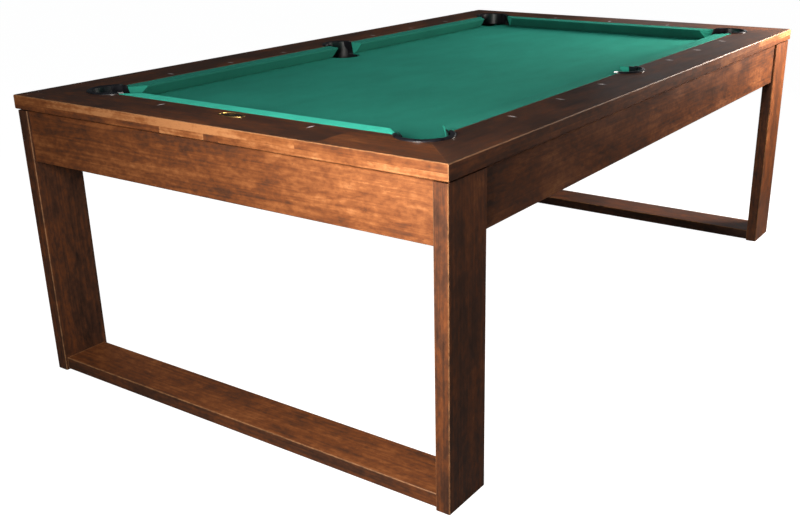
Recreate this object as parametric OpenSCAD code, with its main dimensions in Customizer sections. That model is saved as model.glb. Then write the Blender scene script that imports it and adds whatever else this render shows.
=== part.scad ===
// Pool table on two sled frames: mitred hardwood rails over a three-piece slate
// bed, six drop pockets, four plank legs with hidden screw levellers.
// X runs from the head end (-X, with the nameplate) to the foot end, Y across
// the table with the left side at +Y, Z up. The origin is on the floor, at the
// middle of the table.

/* [Playing field] */
// Length of the field between the cushion noses
play_l = 1981.2; // [1900:0.1:2040]
// Width of the field between the cushion noses
play_w = 990.6; // [950:0.1:1020]
// Opening between the cushion tips at a corner pocket
corner_mouth = 120; // [116:0.5:126]
// Opening between the cushion tips at a side pocket
side_mouth = 130; // [126:0.5:136]

/* [Rails] */
// Width of the wooden rail that shows
rail_w = 150; // [148:1:156]
// Distance from the wood to the cushion nose
cushion_d = 52; // [50:0.5:54]
// Thickness of the wooden rail
rail_t = 38; // [38:0.5:44]
// Distance from the outer edge of the rail to the middle of the sights
sight_in = 115; // [95:1:125]

/* [Table] */
// Height of the rail tops above the floor
table_h = 812; // [780:1:840]
// Open shadow line between the rails and the cabinet
reveal = 4; // [2:0.5:6]
// Overhang of the rails past the legs
overhang = 4; // [2:0.5:10]

/* [Cabinet] */
// Height of the aprons
apron_h = 140; // [130:1:170]
// Thickness of the aprons
apron_t = 22; // [18:1:24]
// Depth that the aprons and planks sit behind the faces of the legs
apron_recess = 7; // [4:0.5:9]

/* [Legs] */
// Width of a leg, along the table
leg_w = 150; // [140:1:180]
// Thickness of a leg, across the table
leg_t = 38; // [36:1:45]
// Thickness of the planks that join the legs at the floor
plank_t = 36; // [30:1:45]
// Space between a plank and the floor
plank_lift = 2; // [1:0.5:6]

/* [Bed] */
// Thickness of the slate
slate_t = 25; // [22:0.5:30]
// Thickness of the cloth on the bed and on the cushions
cloth_t = 1; // [0.8:0.1:1.2]

/* [Pockets] */
// Inner radius of a pocket
pocket_r = 57; // [54:0.5:58]
// Width of the rolled rim on top of the rail
rim_w = 13; // [11:0.5:15]
// Height of the rolled rim above the wood
rim_h = 5; // [3:0.5:6]
// Depth of the buckets below the slate
bucket_depth = 100; // [80:1:110]

/* [Levellers] */
// Travel of a levelling foot
level_travel = 18; // [5:1:20]
// Diameter of a levelling screw
level_d = 10; // [8:0.5:12]

/* [Hidden] */
$fn = 64;

// Colours
WOOD = "saddlebrown";
DARK_WOOD = [0.30, 0.17, 0.10];
PLYWOOD = [0.72, 0.58, 0.40];
CLOTH = [0.06, 0.45, 0.36];
BLACK = [0.05, 0.05, 0.06];
STEEL = [0.62, 0.63, 0.65];

// Small gaps that keep neighbouring solids apart
GAP = 0.3;
FIT = 0.05;
FAR = 3000;

// Whole table, from its middle
nose_in = rail_w + cushion_d;
half_l = play_l / 2 + nose_in;
half_w = play_w / 2 + nose_in;

// Levels
rail_z = table_h - rail_t;
bed_z = rail_z - cloth_t;
slate_z = bed_z - slate_t;
cabinet_z = rail_z - reveal;
apron_z = cabinet_z - apron_h;

// Rail section: the wood carries a sub-rail that the cushion is glued to
chamfer = 2;
groove_w = 4;
groove_d = 9;
subrail_foot = 22;
subrail_top = 24;
subrail_fall = 0.5;
subrail_lip = 28;
lip_z = 8;
nose_z = rail_t - 3;
tip_gap = corner_mouth / sqrt(2);
corner_facing = 42;
side_facing = 76;
facing_draft = 12;
facing_t = 3;

// Pockets, measured in from the outer edges of the rails
corner_in = 183;
side_in = 168;
skirt_t = 3;
skirt_drop = 13;
rim_seat = 1.5;
notch_r = pocket_r + skirt_t + GAP;
rim_r = pocket_r + rim_w + GAP;
rim_crown = 3;
bed_lip = 2;
ear_root = 12;
ear_l = 16;
ear_t = 2.5;
ear_sink = 1;
bucket_t = 2.5;
bucket_flange = 14;
bucket_gap = 0.2;
rivet_r = 1.6;
rivet_z = 8;
rivet_head = [3.2, 1.2];
rivet_angles = [-90, 30, 150];

// Rail sights and nameplate
sight_l = 30;
sight_w = 9;
inlay_t = 2;
sight_step = play_l / 8;
plate_l = 82;
plate_w = 40;

// Cabinet and bed
leg_x = half_l - overhang;
leg_y = half_w - overhang;
frame_t = 32;
frame_h = 110;
end_frame_t = 38;
frame_in = overhang + leg_t;
end_in = overhang + apron_recess + apron_t;
slate_in = 107;
ledger_t = 38;
beam_w = [90, 38];
beam_x = [382, 720];
beam_h = 100;
side_ledger_x = [80, half_l - 262];
end_ledger_y = half_w - 262;

// Fasteners
rail_bolt_r = 4;
rail_bolt_in = 128;
side_bolt_x = [190, 560, 880];
end_bolt_y = [130, 370];
leg_bolt_r = 5;
leg_bolt_x = [leg_x - leg_w + 22, leg_x - leg_w + 62];
leg_bolt_z = [slate_z - 30, slate_z - 80];
insert_wall = 3;
screw_r = 2.5;
slate_screw_y = [-500, -250, 0, 250, 500];
apron_screw_x = [120, 560, 900];
apron_screw_y = [150, 450];
apron_screw_z = slate_z - 63;
screw_bite = 12;
frame_screw_x = [beam_x[0], beam_x[1], half_l - end_in - end_frame_t / 2];
frame_screw_z = [slate_z - 25, slate_z - 70];
frame_screw_l = 70;
slate_screw_l = 52;
screw_tip = 4;
screw_head_r = 5.5;
slate_sink = 6;
dowel_r = 5;
dowel_l = 52;
dowel_x = [-50, -25, 25, 50];

// Levellers
pad_r = 13.5;
pad_t = 5;
hub_r = 8;
hub_h = 4;
pin_r = 4;
pad_rise = 0.5;
collar_z = pad_rise + pad_t + hub_h + GAP;
collar_h = 5;
insert_z = collar_z + collar_h + 1;
insert_l = 25;
stem_spare = 15;
stem_l = insert_l + level_travel + stem_spare;
level_y = leg_y - leg_t / 2;
level_x = leg_x - leg_w / 2;

// ---------------------------------------------------------------- helpers

// Places children, drawn with X along a rail and Y inwards from its outer edge
module on_right() translate([0, -half_w, 0]) children();
module on_left() rotate([0, 0, 180]) on_right() children();
module on_head() rotate([0, 0, -90]) translate([0, -half_l, 0]) children();
module on_foot() rotate([0, 0, 180]) on_head() children();

module both(v) {
    children();
    mirror(v) children();
}

module rod(r, h, z = 0) translate([0, 0, z]) cylinder(r = r, h = h);

module ring(ro, ri, h) difference() {
    cylinder(r = ro, h = h);
    rod(ri, h + 2, -1);
}

// Box from its lowest and highest corners
module block(lo, hi) translate(lo) cube(hi - lo);

// ---------------------------------------------------------------- rails

// Sections are drawn with X inwards from the outer edge and Y up from the bed
module rail_section() polygon([
    [chamfer, 0], [0, chamfer], [0, rail_t - chamfer], [chamfer, rail_t],
    [rail_w - groove_w / 2, rail_t], [rail_w - groove_w / 2, rail_t - groove_d],
    [rail_w + groove_w / 2, rail_t - groove_d], [rail_w + groove_w / 2, rail_t - cloth_t],
    [rail_w + subrail_top, rail_t - cloth_t - subrail_fall], [rail_w + subrail_lip, lip_z],
    [rail_w + subrail_foot - cloth_t, cloth_t], [rail_w + groove_w / 2, cloth_t],
    [rail_w + groove_w / 2, 0]
]);

// Outline of a cushion and its sub-rail, over the cloth or, with inset, under it
module cushion_section(inset = 0) polygon([
    [rail_w + groove_w / 2, inset], [rail_w + subrail_foot - inset, inset],
    [rail_w + subrail_lip + 2 - inset, lip_z - 1 + inset / 2],
    [nose_in - 1.6 - inset, nose_z - 3.2 + inset / 2], [nose_in - inset, nose_z],
    [nose_in - 0.9 - inset, rail_t - 1 - inset],
    [rail_w + groove_w / 2, rail_t - inset]
]);

// Turns a section into a bar along X
module bar(length) rotate([90, 0, 90]) linear_extrude(length, center = true) children();

// Space past a cushion's end, set back from its facing, and as deep as given
module past_facing(x, turn, back, depth) translate([x, nose_in, nose_z])
    rotate([0, 0, turn]) rotate([0, facing_draft, 0])
        block([-back, -200, -80], [depth - back, 200, 80]);

module past_corner_facing(half, back, depth = 200)
    past_facing(half - nose_in - tip_gap, 90 - corner_facing, back, depth);
module past_side_facing(back, depth = 200)
    past_facing(side_mouth / 2, 90 + side_facing, back, depth);

// Bar of a cushion's section between its two facings
module end_cushion(inset, back) difference() {
    bar(FAR) cushion_section(inset);
    both([1, 0, 0]) past_corner_facing(half_w, back);
    both([1, 0, 0]) block([half_w - 200, 0, -1], [FAR, FAR, rail_t + 1]);
}

module side_cushion(inset, back) difference() {
    bar(FAR) cushion_section(inset);
    past_corner_facing(half_l, back);
    past_side_facing(back);
    block([-FAR, 0, -1], [side_mouth / 4, FAR, rail_t + 1]);
    block([half_l - 200, 0, -1], [FAR, FAR, rail_t + 1]);
}

// Everything behind the face of the sub-rail, where the rubber can't be
module behind_subrail() bar(FAR + 10) polygon([
    [0, -1], [0, rail_t + 1], [rail_w + subrail_top, rail_t + 1],
    [rail_w + subrail_top, rail_t - cloth_t - subrail_fall], [rail_w + subrail_lip, lip_z],
    [rail_w + subrail_lip, -1]
]);

module rubber_only() translate([0, 0, rail_z]) difference() {
    children();
    behind_subrail();
}

module sight_shape(grow = 0) polygon([
    [0, -sight_l / 2 - grow], [sight_w / 2 + grow, 0],
    [0, sight_l / 2 + grow], [-sight_w / 2 - grow, 0]
]);

module plate_shape(grow = 0) polygon([
    for (a = [0:10:350]) [(plate_l / 2 + grow) * cos(a), (plate_w / 2 + grow) * sin(a)]
]);

module corner_notch(half, r, h, z)
    translate([half - corner_in, corner_in, z]) cylinder(r = r, h = h);

module side_notch(r, h, z) translate([0, side_in, z]) cylinder(r = r, h = h);

module sight_seats(places) for (x = places)
    translate([x, sight_in, table_h - inlay_t - FIT]) linear_extrude(inlay_t + 1)
        sight_shape(FIT);

module insert_seats(places) for (x = places)
    translate([x, rail_bolt_in, rail_z - 1])
        cylinder(r = rail_bolt_r + insert_wall + FIT, h = 25);

module end_rail(sights) difference() {
    intersection() {
        translate([0, 0, rail_z]) bar(2 * half_w) rail_section();
        translate([0, 0, rail_z - 1]) linear_extrude(rail_t + 2) polygon([
            [-half_w, 0], [half_w, 0], [half_w - 180, 180], [-half_w + 180, 180]
        ]);
    }
    both([1, 0, 0]) {
        corner_notch(half_w, notch_r, rail_t + 2, rail_z - 1);
        corner_notch(half_w, rim_r, rim_seat + 1, table_h - rim_seat);
        translate([0, 0, rail_z]) intersection() {
            past_corner_facing(half_w, facing_t + cloth_t);
            block([0, rail_w, -1], [FAR, FAR, rail_t + 1]);
        }
    }
    sight_seats(sights);
    insert_seats([-end_bolt_y[1], -end_bolt_y[0], end_bolt_y[0], end_bolt_y[1]]);
}

module side_rail() difference() {
    intersection() {
        translate([0, 0, rail_z]) bar(2 * half_l) rail_section();
        translate([0, 0, rail_z - 1]) linear_extrude(rail_t + 2) polygon([
            [-half_l, 0], [half_l, 0], [half_l - 180, 180], [-half_l + 180, 180]
        ]);
    }
    side_notch(notch_r, rail_t + 2, rail_z - 1);
    side_notch(rim_r, rim_seat + 1, table_h - rim_seat);
    both([1, 0, 0]) {
        corner_notch(half_l, notch_r, rail_t + 2, rail_z - 1);
        corner_notch(half_l, rim_r, rim_seat + 1, table_h - rim_seat);
        translate([0, 0, rail_z]) intersection() {
            union() {
                past_corner_facing(half_l, facing_t + cloth_t);
                past_side_facing(facing_t + cloth_t);
            }
            block([0, rail_w, -1], [FAR, FAR, rail_t + 1]);
        }
    }
    sight_seats([for (i = [1:3], s = [-1, 1]) s * i * sight_step]);
    insert_seats([for (x = side_bolt_x, s = [-1, 1]) s * x]);
}

module nameplate_seat() translate([0, sight_in, table_h - inlay_t - FIT])
    linear_extrude(inlay_t + 1) plate_shape(FIT);

module rail_head() color(WOOD) on_head() difference() {
    end_rail([-sight_step, sight_step]);
    nameplate_seat();
}
module rail_foot() color(WOOD) on_foot() end_rail([-sight_step, 0, sight_step]);
module rail_left() color(WOOD) on_left() side_rail();
module rail_right() color(WOOD) on_right() side_rail();

// Rubber of one cushion: an end one, or the one on the +X half of a side rail
module end_rubber() color(BLACK) rubber_only() end_cushion(cloth_t, cloth_t + facing_t);
module side_rubber() color(BLACK) rubber_only() side_cushion(cloth_t, cloth_t + facing_t);

module cushion_head() on_head() end_rubber();
module cushion_foot() on_foot() end_rubber();
module cushion_right_foot() on_right() side_rubber();
module cushion_right_head() on_right() mirror([1, 0, 0]) side_rubber();
module cushion_left_head() on_left() side_rubber();
module cushion_left_foot() on_left() mirror([1, 0, 0]) side_rubber();

// The same part on all six cushions: first child on the ends, second on the side halves
module on_every_cushion() {
    on_head() children(0);
    on_foot() children(0);
    on_right() both([1, 0, 0]) children(1);
    on_left() both([1, 0, 0]) children(1);
}

module end_cloth() translate([0, 0, rail_z]) difference() {
    end_cushion(0, 0);
    end_cushion(cloth_t, cloth_t);
    block([-FAR, 0, -1], [FAR, rail_w + groove_w / 2 + cloth_t, rail_t - cloth_t]);
}

module side_cloth() translate([0, 0, rail_z]) difference() {
    side_cushion(0, 0);
    side_cushion(cloth_t, cloth_t);
    block([-FAR, 0, -1], [FAR, rail_w + groove_w / 2 + cloth_t, rail_t - cloth_t]);
}

module cushion_cloths() color(CLOTH) on_every_cushion() {
    end_cloth();
    side_cloth();
}

// Hard pads glued to the cut ends of the rubber and the sub-rail
module facing_pad() translate([0, 0, rail_z]) difference() {
    intersection() {
        bar(FAR) cushion_section(cloth_t);
        children();
    }
    block([-FAR, 0, -1], [FAR, rail_w + groove_w / 2 + cloth_t, rail_t + 1]);
}

module end_facings() both([1, 0, 0]) facing_pad()
    past_corner_facing(half_w, cloth_t + facing_t, facing_t);

module side_facings() {
    facing_pad() past_corner_facing(half_l, cloth_t + facing_t, facing_t);
    facing_pad() past_side_facing(cloth_t + facing_t, facing_t);
}

module pocket_facings() color(BLACK) on_every_cushion() {
    end_facings();
    side_facings();
}

// Strips that wedge the cloth into the grooves, cut off at the pockets
module strip_bar(length) translate([0, rail_w - 1, table_h - groove_d + 1])
    block([-length / 2, -0.9, 0], [length / 2, 2, groove_d - 1.4]);

module end_strip() difference() {
    strip_bar(2 * half_w);
    both([1, 0, 0]) block([half_w - corner_in - rim_r, 0, 0], [FAR, FAR, table_h]);
}

module side_strip() difference() {
    strip_bar(2 * half_l);
    block([-FAR, 0, 0], [rim_r, FAR, table_h]);
    block([half_l - corner_in - rim_r, 0, 0], [FAR, FAR, table_h]);
}

module feather_strips() color(DARK_WOOD) on_every_cushion() {
    end_strip();
    side_strip();
}

module sights_at(places) for (x = places)
    translate([x, sight_in, table_h - inlay_t]) linear_extrude(inlay_t) sight_shape();

module rail_sights() color("ivory") {
    on_head() sights_at([-sight_step, sight_step]);
    on_foot() sights_at([-sight_step, 0, sight_step]);
    on_left() sights_at([for (i = [1:3], s = [-1, 1]) s * i * sight_step]);
    on_right() sights_at([for (i = [1:3], s = [-1, 1]) s * i * sight_step]);
}

module nameplate() color("goldenrod") on_head()
    translate([0, sight_in, table_h - inlay_t]) {
        linear_extrude(inlay_t + 0.5) plate_shape();
        translate([0, 0, inlay_t]) linear_extrude(1) difference() {
            plate_shape(-1);
            plate_shape(-3);
        }
    }

// ---------------------------------------------------------------- bed

// Footprint of the slate, with its six pocket cuts
module bed_outline(edge = slate_in) difference() {
    square([2 * (half_l - edge), 2 * (half_w - edge)], center = true);
    both([1, 0, 0]) both([0, 1, 0]) translate([half_l - corner_in, half_w - corner_in]) {
        circle(r = notch_r + 1);
        square([FAR, FAR]);
    }
    both([0, 1, 0]) translate([0, half_w - side_in]) {
        circle(r = notch_r + 1);
        translate([-notch_r - 1, 0]) square([2 * (notch_r + 1), FAR]);
    }
}

module rail_bolt_places() {
    for (s = [0, 180]) rotate([0, 0, s]) {
        for (x = side_bolt_x, m = [-1, 1])
            translate([m * x, -half_w + rail_bolt_in, 0]) children();
        for (y = end_bolt_y, m = [-1, 1])
            translate([-half_l + rail_bolt_in, m * y, 0]) children();
    }
}

module slate_screw_places() both([1, 0, 0])
    for (x = [beam_x[0] - 24, beam_x[0] + 24], y = slate_screw_y)
        translate([x, y, 0]) children();

module slate(from, to) color("slategray") difference() {
    intersection() {
        translate([0, 0, slate_z]) linear_extrude(slate_t) bed_outline();
        block([from, -FAR, 0], [to, FAR, FAR]);
    }
    rail_bolt_places() rod(rail_bolt_r + 1, slate_t + 2, slate_z - 1);
    slate_screw_places() {
        rod(screw_r + FIT, slate_t + 2, slate_z - 1);
        translate([0, 0, bed_z - slate_sink])
            cylinder(r1 = screw_r + FIT, r2 = screw_head_r + 2, h = slate_sink + FIT);
    }
}

module slate_head() slate(-half_l, -beam_x[0] - FIT);
module slate_centre() slate(-beam_x[0] + FIT, beam_x[0] - FIT);
module slate_foot() slate(beam_x[0] + FIT, half_l);

module bed_cloth() color(CLOTH) difference() {
    translate([0, 0, bed_z]) linear_extrude(cloth_t) bed_outline(slate_in);
    rail_bolt_places() rod(rail_bolt_r + 1, cloth_t + 2, bed_z - 1);
}

// Strips under the edges of the slate, bored for the rail bolts
module side_ledger() difference() {
    block([side_ledger_x[0], frame_in + frame_t, slate_z - ledger_t],
          [side_ledger_x[1], rail_w, slate_z]);
    for (i = [0, 1]) block([beam_x[i] - beam_w[i] / 2 - FIT, 0, 0],
                           [beam_x[i] + beam_w[i] / 2 + FIT, FAR, FAR]);
    for (x = side_bolt_x) translate([x, rail_bolt_in, 0]) rod(rail_bolt_r + 1, FAR);
}

module end_ledger() difference() {
    block([-end_ledger_y, end_in + end_frame_t, slate_z - ledger_t],
          [end_ledger_y, rail_w, slate_z]);
    for (y = end_bolt_y, m = [-1, 1])
        translate([m * y, rail_bolt_in, 0]) rod(rail_bolt_r + 1, FAR);
}

module slate_ledgers() color(PLYWOOD) {
    on_left() both([1, 0, 0]) side_ledger();
    on_right() both([1, 0, 0]) side_ledger();
    on_head() end_ledger();
    on_foot() end_ledger();
}

// ---------------------------------------------------------------- pockets

// Rivet axes of a pocket, each pointing away from its middle
module rivet_places() for (a = rivet_angles) rotate([0, 0, a])
    translate([0, 0, slate_z - rivet_z]) rotate([0, 90, 0]) children();

// Rolled rim, and the wall that lines the pocket from the rim to below the slate
module rim_and_wall() {
    seat_z = table_h - rim_seat;
    wall_z = slate_z - skirt_drop;
    crown_r = (rim_w * rim_w / 4 + rim_crown * rim_crown) / (2 * rim_crown);
    translate([0, 0, wall_z]) ring(pocket_r + skirt_t, pocket_r, table_h - wall_z);
    rotate_extrude() intersection() {
        translate([pocket_r, seat_z]) square([rim_w, rim_seat + rim_h]);
        translate([pocket_r + rim_w / 2, table_h + rim_h - crown_r]) circle(r = crown_r);
    }
}

// Straight end of a collar, which runs on past the wood and covers the first
// stretch of a cushion's facing. The children are the space past the facing.
module ear(inset) translate([0, -inset, rail_z]) difference() {
    intersection() {
        children();
        block([-FAR, rail_w - ear_root, GAP], [FAR, rail_w + ear_l, rail_t + rim_h - 1.5]);
    }
    translate([0, inset, -1]) difference() {
        block([-FAR, -FAR, 0], [FAR, rail_w - inset, FAR]);
        rod(pocket_r + skirt_t - ear_sink, FAR);
    }
}

module corner_ears() both([1, 0, 0]) rotate([0, 0, -45])
    ear(corner_in) past_corner_facing(corner_in, -GAP, ear_t);

module side_ears() both([1, 0, 0]) ear(side_in) past_side_facing(-GAP, ear_t);

// A collar is open on the side of the field, which its Y axis points at. The
// first child is the space over the bed that it leaves free, and the second its ears.
module collar() color(BLACK) difference() {
    union() {
        difference() {
            rim_and_wall();
            translate([0, 0, bed_z - bed_lip]) linear_extrude(200) children(0);
        }
        children(1);
    }
    rivet_places() rod(rivet_r + FIT, FAR);
}

module corner_collar() {
    edge = rail_w - corner_in - FIT;
    collar() {
        rotate([0, 0, 45]) translate([edge, edge]) square([FAR, FAR]);
        corner_ears();
    }
}

module side_collar() collar() {
    translate([-FAR / 2, rail_w - side_in - FIT]) square([FAR, FAR]);
    side_ears();
}

module bucket() color(BLACK) difference() {
    translate([0, 0, slate_z - FIT - bucket_depth]) difference() {
        union() {
            cylinder(r = notch_r + bucket_t, h = bucket_depth);
            rod(notch_r + bucket_flange, bucket_t, bucket_depth - bucket_t);
        }
        rod(notch_r + bucket_gap, bucket_depth, bucket_t);
    }
    rivet_places() rod(rivet_r + FIT, FAR);
}

module rivets() {
    outside = notch_r + bucket_t;
    rivet_places() {
        rod(rivet_r, outside - pocket_r, pocket_r);
        rod(rivet_head[0], rivet_head[1], outside);
    }
}

// Pocket places: cx and sy are -1, 0 or 1 for head, side, foot and right, left
module at_pocket(cx, sy) translate([cx * (half_l - corner_in),
    sy * (half_w - (cx == 0 ? side_in : corner_in)), 0])
    rotate([0, 0, cx == 0 ? (sy > 0 ? 180 : 0) : atan2(-sy, -cx) - 90]) children();

module pocket_collar_head_left() at_pocket(-1, 1) corner_collar();
module pocket_collar_head_right() at_pocket(-1, -1) corner_collar();
module pocket_collar_side_left() at_pocket(0, 1) side_collar();
module pocket_collar_side_right() at_pocket(0, -1) side_collar();
module pocket_collar_foot_left() at_pocket(1, 1) corner_collar();
module pocket_collar_foot_right() at_pocket(1, -1) corner_collar();
module pocket_bucket_head_left() at_pocket(-1, 1) bucket();
module pocket_bucket_head_right() at_pocket(-1, -1) bucket();
module pocket_bucket_side_left() at_pocket(0, 1) bucket();
module pocket_bucket_side_right() at_pocket(0, -1) bucket();
module pocket_bucket_foot_left() at_pocket(1, 1) bucket();
module pocket_bucket_foot_right() at_pocket(1, -1) bucket();
module pocket_rivets() color(STEEL) for (cx = [-1, 0, 1], sy = [-1, 1]) at_pocket(cx, sy) rivets();

// ---------------------------------------------------------------- cabinet

module leg_bolt_places() both([1, 0, 0]) for (x = leg_bolt_x, z = leg_bolt_z)
    translate([x, 0, z]) children();

// Lies along Y from the inner face of a leg
module leg_bolt_axis(y) rotate([-90, 0, 0]) translate([0, 0, y]) children();

// Screws from the side frames into the end frames and the cross beams
module frame_screw_places() both([0, 1, 0]) both([1, 0, 0])
    for (x = frame_screw_x, z = frame_screw_z)
        translate([x, -half_w + frame_in, z]) rotate([90, 0, 0]) children();

module frame_side() difference() {
    block([-half_l + end_in, -half_w + frame_in, slate_z - frame_h],
          [half_l - end_in, -half_w + frame_in + frame_t, slate_z]);
    frame_screw_places() screw_hole(frame_screw_l);
    leg_bolt_places() leg_bolt_axis(-half_w) rod(leg_bolt_r + GAP, 200);
    for (x = apron_screw_x, m = [-1, 1]) translate([m * x, 0, apron_screw_z])
        leg_bolt_axis(-half_w) rod(screw_r + FIT, 200);
}

module frame_sides() color(PLYWOOD) both([0, 1, 0]) frame_side();

module frame_end() difference() {
    block([-half_l + end_in, -half_w + frame_in + frame_t + FIT, slate_z - frame_h],
          [-half_l + end_in + end_frame_t, half_w - frame_in - frame_t - FIT, slate_z]);
    for (y = apron_screw_y, m = [-1, 1]) translate([-half_l, m * y, apron_screw_z])
        rotate([0, 90, 0]) rod(screw_r + FIT, 200);
    frame_screw_places() screw_hole(frame_screw_l);
}

module frame_ends() color(PLYWOOD) both([1, 0, 0]) frame_end();

module cross_beams() color(PLYWOOD) difference() {
    both([1, 0, 0]) for (i = [0, 1]) block(
        [beam_x[i] - beam_w[i] / 2, -half_w + frame_in + frame_t + FIT, slate_z - beam_h],
        [beam_x[i] + beam_w[i] / 2, half_w - frame_in - frame_t - FIT, slate_z]);
    slate_screw_places() rod(screw_r + FIT, 60, slate_z - 40);
    frame_screw_places() screw_hole(frame_screw_l);
}

// Board with its long edges eased, lying along X with its face at Y = 0
module apron_board(length) bar(length) polygon([
    [0, chamfer], [chamfer, 0], [apron_t, 0], [apron_t, apron_h],
    [chamfer, apron_h], [0, apron_h - chamfer]
]);

module side_apron() difference() {
    translate([0, overhang + apron_recess, apron_z])
        apron_board(2 * (leg_x - leg_w) - 1);
    for (x = apron_screw_x, m = [-1, 1])
        translate([m * x, end_in - screw_bite, apron_screw_z])
            rotate([-90, 0, 0]) rod(screw_r + FIT, 50);
}

module end_apron() difference() {
    translate([0, overhang + apron_recess, apron_z])
        apron_board(2 * (leg_y - leg_t) - 1);
    for (y = apron_screw_y, m = [-1, 1])
        translate([m * y, end_in - screw_bite, apron_screw_z])
            rotate([-90, 0, 0]) rod(screw_r + FIT, 50);
}

module apron_head() color(WOOD) on_head() end_apron();
module apron_foot() color(WOOD) on_foot() end_apron();
module apron_left() color(WOOD) on_left() side_apron();
module apron_right() color(WOOD) on_right() side_apron();

// Blocks that carry the side aprons off the frame
module apron_spacers() color(PLYWOOD) both([0, 1, 0]) for (x = apron_screw_x, m = [-1, 1])
    difference() {
        block([m * x - 30, -half_w + end_in + FIT, apron_screw_z - 30],
              [m * x + 30, -half_w + frame_in - FIT, apron_screw_z + 30]);
        translate([m * x, -half_w, apron_screw_z]) rotate([-90, 0, 0])
            rod(screw_r + FIT, 200);
    }

// ---------------------------------------------------------------- legs

// A leg at the head end on the right, at -X and -Y
module leg() color(WOOD) translate([-leg_x, -leg_y, 0]) difference() {
    linear_extrude(cabinet_z) polygon([
        [0, chamfer], [chamfer, 0], [leg_w - chamfer, 0], [leg_w, chamfer],
        [leg_w, leg_t - chamfer], [leg_w - chamfer, leg_t], [chamfer, leg_t],
        [0, leg_t - chamfer]
    ]);
    translate([leg_w / 2, leg_t / 2, 0]) {
        rod(pad_r + 1, collar_z, -1);
        rod(hub_r + 1.5, insert_z + 1, -1);
        rod(level_d / 2 + insert_wall + FIT, insert_z + insert_l + FIT + 1, -1);
        rod(level_d / 2 + GAP, insert_z + stem_l + 8, -1);
    }
    for (x = dowel_x)
        translate([leg_w / 2 + x, leg_t + 1, plank_lift + plank_t / 2])
            rotate([90, 0, 0]) rod(dowel_r + FIT, dowel_l / 2 + 1);
    for (x = leg_bolt_x, z = leg_bolt_z)
        translate([leg_x - x, leg_t + 1, z])
            rotate([90, 0, 0]) rod(leg_bolt_r + insert_wall + FIT, 28);
}

module leg_head_right() leg();
module leg_head_left() mirror([0, 1, 0]) leg();
module leg_foot_right() mirror([1, 0, 0]) leg();
module leg_foot_left() mirror([1, 0, 0]) mirror([0, 1, 0]) leg();

// Floor plank of the sled at the head end
module plank() color(WOOD) difference() {
    translate([-leg_x, 0, plank_lift]) rotate([90, 0, 0])
        linear_extrude(2 * (leg_y - leg_t) - 2 * FIT, center = true) polygon([
            [apron_recess, chamfer], [apron_recess + chamfer, 0],
            [leg_w - apron_recess - chamfer, 0], [leg_w - apron_recess, chamfer],
            [leg_w - apron_recess, plank_t - chamfer],
            [leg_w - apron_recess - chamfer, plank_t],
            [apron_recess + chamfer, plank_t], [apron_recess, plank_t - chamfer]
        ]);
    dowel_places() rod(dowel_r + FIT, dowel_l / 2 + 1);
}

// Dowel axes at the head end, each pointing into the plank from the leg's face
module dowel_places() both([0, 1, 0]) for (x = dowel_x)
    translate([-level_x + x, -leg_y + leg_t, plank_lift + plank_t / 2])
        rotate([-90, 0, 0]) children();

module plank_head() plank();
module plank_foot() mirror([1, 0, 0]) plank();

module plank_dowels() color("burlywood") both([1, 0, 0])
    dowel_places() rod(dowel_r, dowel_l - 2, 1 - dowel_l / 2);

// ---------------------------------------------------------------- fasteners

module hex_bolt(r, length, head_h) {
    rod(r, length, 0);
    translate([0, 0, -head_h]) cylinder(r = r * 1.95, h = head_h, $fn = 6);
}

module washer(r, h) ring(r * 2.4, r + FIT, h);

// Countersunk head with its top at Z = 0
module sunk_head(grow = 0) translate([0, 0, screw_r - screw_head_r])
    cylinder(r1 = screw_r + grow, r2 = screw_head_r + grow, h = screw_head_r - screw_r);

// Threaded part of a screw, pointing down from Z = 0
module screw_shank(length) {
    rod(screw_r, length, -length);
    translate([0, 0, -length - screw_tip])
        cylinder(r1 = 0.4, r2 = screw_r, h = screw_tip);
}

module flat_screw(length) {
    sunk_head();
    screw_shank(length);
}

module round_screw(length) {
    rod(screw_head_r, 2.5);
    screw_shank(length);
}

module screw_hole(length) {
    sunk_head(FIT);
    rod(screw_r + FIT, length + screw_tip + 2, -length - screw_tip - 1);
}

module leg_bolts() color(STEEL) both([0, 1, 0]) leg_bolt_places()
    translate([0, -half_w + frame_in + frame_t, 0]) rotate([90, 0, 0]) {
        translate([0, 0, -2]) {
            washer(leg_bolt_r, 2);
            hex_bolt(leg_bolt_r, frame_t + 2 + 22, 6.5);
        }
    }

module rail_bolts() color(STEEL) rail_bolt_places() translate([0, 0, slate_z - ledger_t - 2]) {
    washer(rail_bolt_r, 2);
    hex_bolt(rail_bolt_r, ledger_t + slate_t + cloth_t + 22, 5.5);
}

module threaded_inserts() color("darkgoldenrod") {
    rail_bolt_places() translate([0, 0, rail_z])
        ring(rail_bolt_r + insert_wall, rail_bolt_r + FIT, 20);
    both([0, 1, 0]) leg_bolt_places() translate([0, -half_w + frame_in, 0])
        rotate([90, 0, 0]) ring(leg_bolt_r + insert_wall, leg_bolt_r + FIT, 24);
    both([1, 0, 0]) both([0, 1, 0]) translate([level_x, level_y, insert_z])
        ring(level_d / 2 + insert_wall, level_d / 2 + FIT, insert_l);
}

module wood_screws() color(STEEL) {
    slate_screw_places() translate([0, 0, bed_z - 1.5]) flat_screw(slate_screw_l);
    frame_screw_places() flat_screw(frame_screw_l);
    both([0, 1, 0]) for (x = apron_screw_x, m = [-1, 1])
        translate([m * x, -half_w + frame_in + frame_t, apron_screw_z]) rotate([-90, 0, 0])
            round_screw(frame_in + frame_t - end_in + screw_bite - 6);
    both([1, 0, 0]) for (y = apron_screw_y, m = [-1, 1])
        translate([-half_l + end_in + end_frame_t, m * y, apron_screw_z]) rotate([0, 90, 0])
            round_screw(end_frame_t + screw_bite - 6);
}

// ---------------------------------------------------------------- levellers

module at_leveller(cx, sy) translate([cx * level_x, sy * level_y, 0]) children();

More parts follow.
